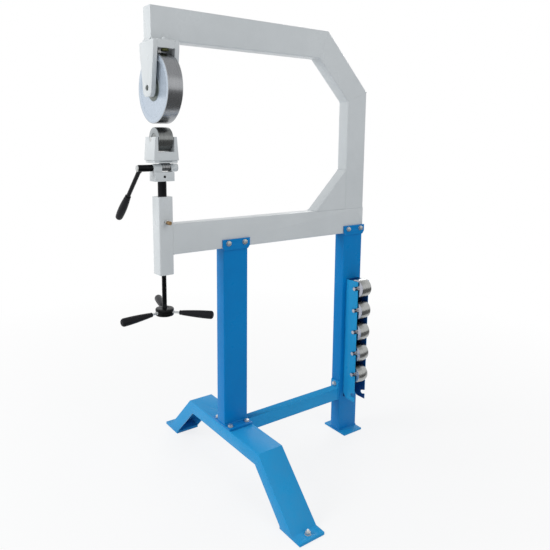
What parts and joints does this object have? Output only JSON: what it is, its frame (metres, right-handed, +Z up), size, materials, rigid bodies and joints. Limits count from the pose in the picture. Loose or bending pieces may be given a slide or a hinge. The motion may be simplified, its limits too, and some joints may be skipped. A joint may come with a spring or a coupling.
{
  "type": "english wheel",
  "caption": "Free-standing sheet metal shaping wheel: box-section C-frame with a forked upper wheel, cam-lifted lower anvil, screw ram with handles, blue stand and a side rack of spare anvils.",
  "frame": {"origin": "on the floor, under the middle of the machine's length and on its vertical mid-plane", "axes": "+Z up, +X from the wheels along the throat to the rear upright, +Y away from the side that carries the anvil rack"},
  "size_m": [1.0736, 0.923, 1.65],
  "materials": {
    "frame_paint": "light grey gloss paint on steel",
    "stand_paint": "bright blue gloss paint on steel",
    "rack_paint": "blue paint on folded sheet steel",
    "wheel_steel": "turned and polished bare steel",
    "plated_steel": "zinc plated",
    "black_steel": "black oxide steel",
    "black_grip": "moulded black plastic",
    "lock_brass": "dull brass"
  },
  "bodies": {
    "stand": {"upper_beam": "frame_paint", "corner_tube": "frame_paint", "rear_upright": "frame_paint", "lower_beam": "frame_paint", "gusset": "frame_paint", "fork_plate": "frame_paint", "fork_cheek_front": "frame_paint", "fork_cheek_rear": "frame_paint", "fork_bolt": "black_steel", "upper_axle": "plated_steel", "ram_housing": "frame_paint", "lock_nut": "black_steel", "front_saddle": "stand_paint", "rear_saddle": "stand_paint", "front_column": "stand_paint", "base_flange": "stand_paint", "foot": "stand_paint", "rear_column": "stand_paint", "rear_base": "stand_paint", "stretcher": "stand_paint", "saddle_bolt_1": "plated_steel", "saddle_bolt_2": "plated_steel", "saddle_bolt_3": "plated_steel", "saddle_bolt_4": "plated_steel", "flange_bolt_1": "plated_steel", "flange_bolt_2": "plated_steel", "flange_bolt_3": "plated_steel", "flange_bolt_4": "plated_steel", "pad_bolt_left": "plated_steel", "pad_bolt_right": "plated_steel", "stretcher_bolt": "plated_steel", "rack_web": "rack_paint", "rack_flange_front": "rack_paint", "rack_flange_rear": "rack_paint"},
    "wheel": {"upper_wheel": "wheel_steel"},
    "ram": {"ram": "black_steel", "cam_housing": "frame_paint", "set_screw": "black_steel"},
    "adjuster": {"adjuster_screw": "black_steel", "adjuster_hub": "black_steel", "handle_rod_1": "plated_steel", "handle_rod_2": "plated_steel", "handle_rod_3": "plated_steel", "handle_grip_1": "black_grip", "handle_grip_2": "black_grip", "handle_grip_3": "black_grip"},
    "cam": {"camshaft": "wheel_steel", "lever_hub": "black_steel", "lever_arm": "black_steel", "lever_grip": "black_grip"},
    "cradle": {"cradle_plate": "frame_paint", "cradle": "frame_paint", "anvil_axle": "plated_steel"},
    "anvil": {"anvil": "wheel_steel"},
    "lock": {"lock_screw": "lock_brass"},
    "spare_1": {"spare_anvil_1": "wheel_steel"},
    "spare_2": {"spare_anvil_2": "wheel_steel"},
    "spare_3": {"spare_anvil_3": "wheel_steel"},
    "spare_4": {"spare_anvil_4": "wheel_steel"},
    "spare_5": {"spare_anvil_5": "wheel_steel"}
  },
  "joints": [
    {"name": "wheel_spin", "type": "hinge", "parent": "stand", "child": "wheel", "pos_m": [-0.36902, 0, 1.4049], "axis": [1, 0, 0], "continuous": true},
    {"name": "ram_slide", "type": "slide", "parent": "stand", "child": "ram", "axis": [0, 0, 1], "range_m": [-0.04, 0.004]},
    {"name": "adjuster_turn", "type": "hinge", "parent": "ram", "child": "adjuster", "pos_m": [-0.36902, 0, 0.6765], "axis": [0, 0, 1], "range_deg": [-5757, 575]},
    {"name": "lever_turn", "type": "hinge", "parent": "ram", "child": "cam", "pos_m": [-0.36902, 0, 1.1563], "axis": [1, 0, 0], "range_deg": [0, 90]},
    {"name": "cradle_lift", "type": "slide", "parent": "ram", "child": "cradle", "axis": [0, 0, 1], "range_m": [0, 0.005]},
    {"name": "anvil_spin", "type": "hinge", "parent": "cradle", "child": "anvil", "pos_m": [-0.36902, 0, 1.2476], "axis": [1, 0, 0], "continuous": true},
    {"name": "lock_turn", "type": "hinge", "parent": "stand", "child": "lock", "pos_m": [-0.36902, -0.04, 0.9815], "axis": [0, -1, 0], "range_deg": [0, 360]},
    {"name": "spare_1_spin", "type": "hinge", "parent": "stand", "child": "spare_1", "pos_m": [0.47978, -0.0772, 0.647], "axis": [1, 0, 0], "continuous": true},
    {"name": "spare_2_spin", "type": "hinge", "parent": "stand", "child": "spare_2", "pos_m": [0.47978, -0.0772, 0.5548], "axis": [1, 0, 0], "continuous": true},
    {"name": "spare_3_spin", "type": "hinge", "parent": "stand", "child": "spare_3", "pos_m": [0.47978, -0.0772, 0.4626], "axis": [1, 0, 0], "continuous": true},
    {"name": "spare_4_spin", "type": "hinge", "parent": "stand", "child": "spare_4", "pos_m": [0.47978, -0.0772, 0.3704], "axis": [1, 0, 0], "continuous": true},
    {"name": "spare_5_spin", "type": "hinge", "parent": "stand", "child": "spare_5", "pos_m": [0.47978, -0.0772, 0.2782], "axis": [1, 0, 0], "continuous": true}
  ],
  "couplings": [
    {"joint": "ram_slide", "follows": "adjuster_turn", "m_per_rad": 0.00039789},
    {"joint": "cradle_lift", "follows": "lever_turn", "m_per_rad": 0.0031831}
  ]
}
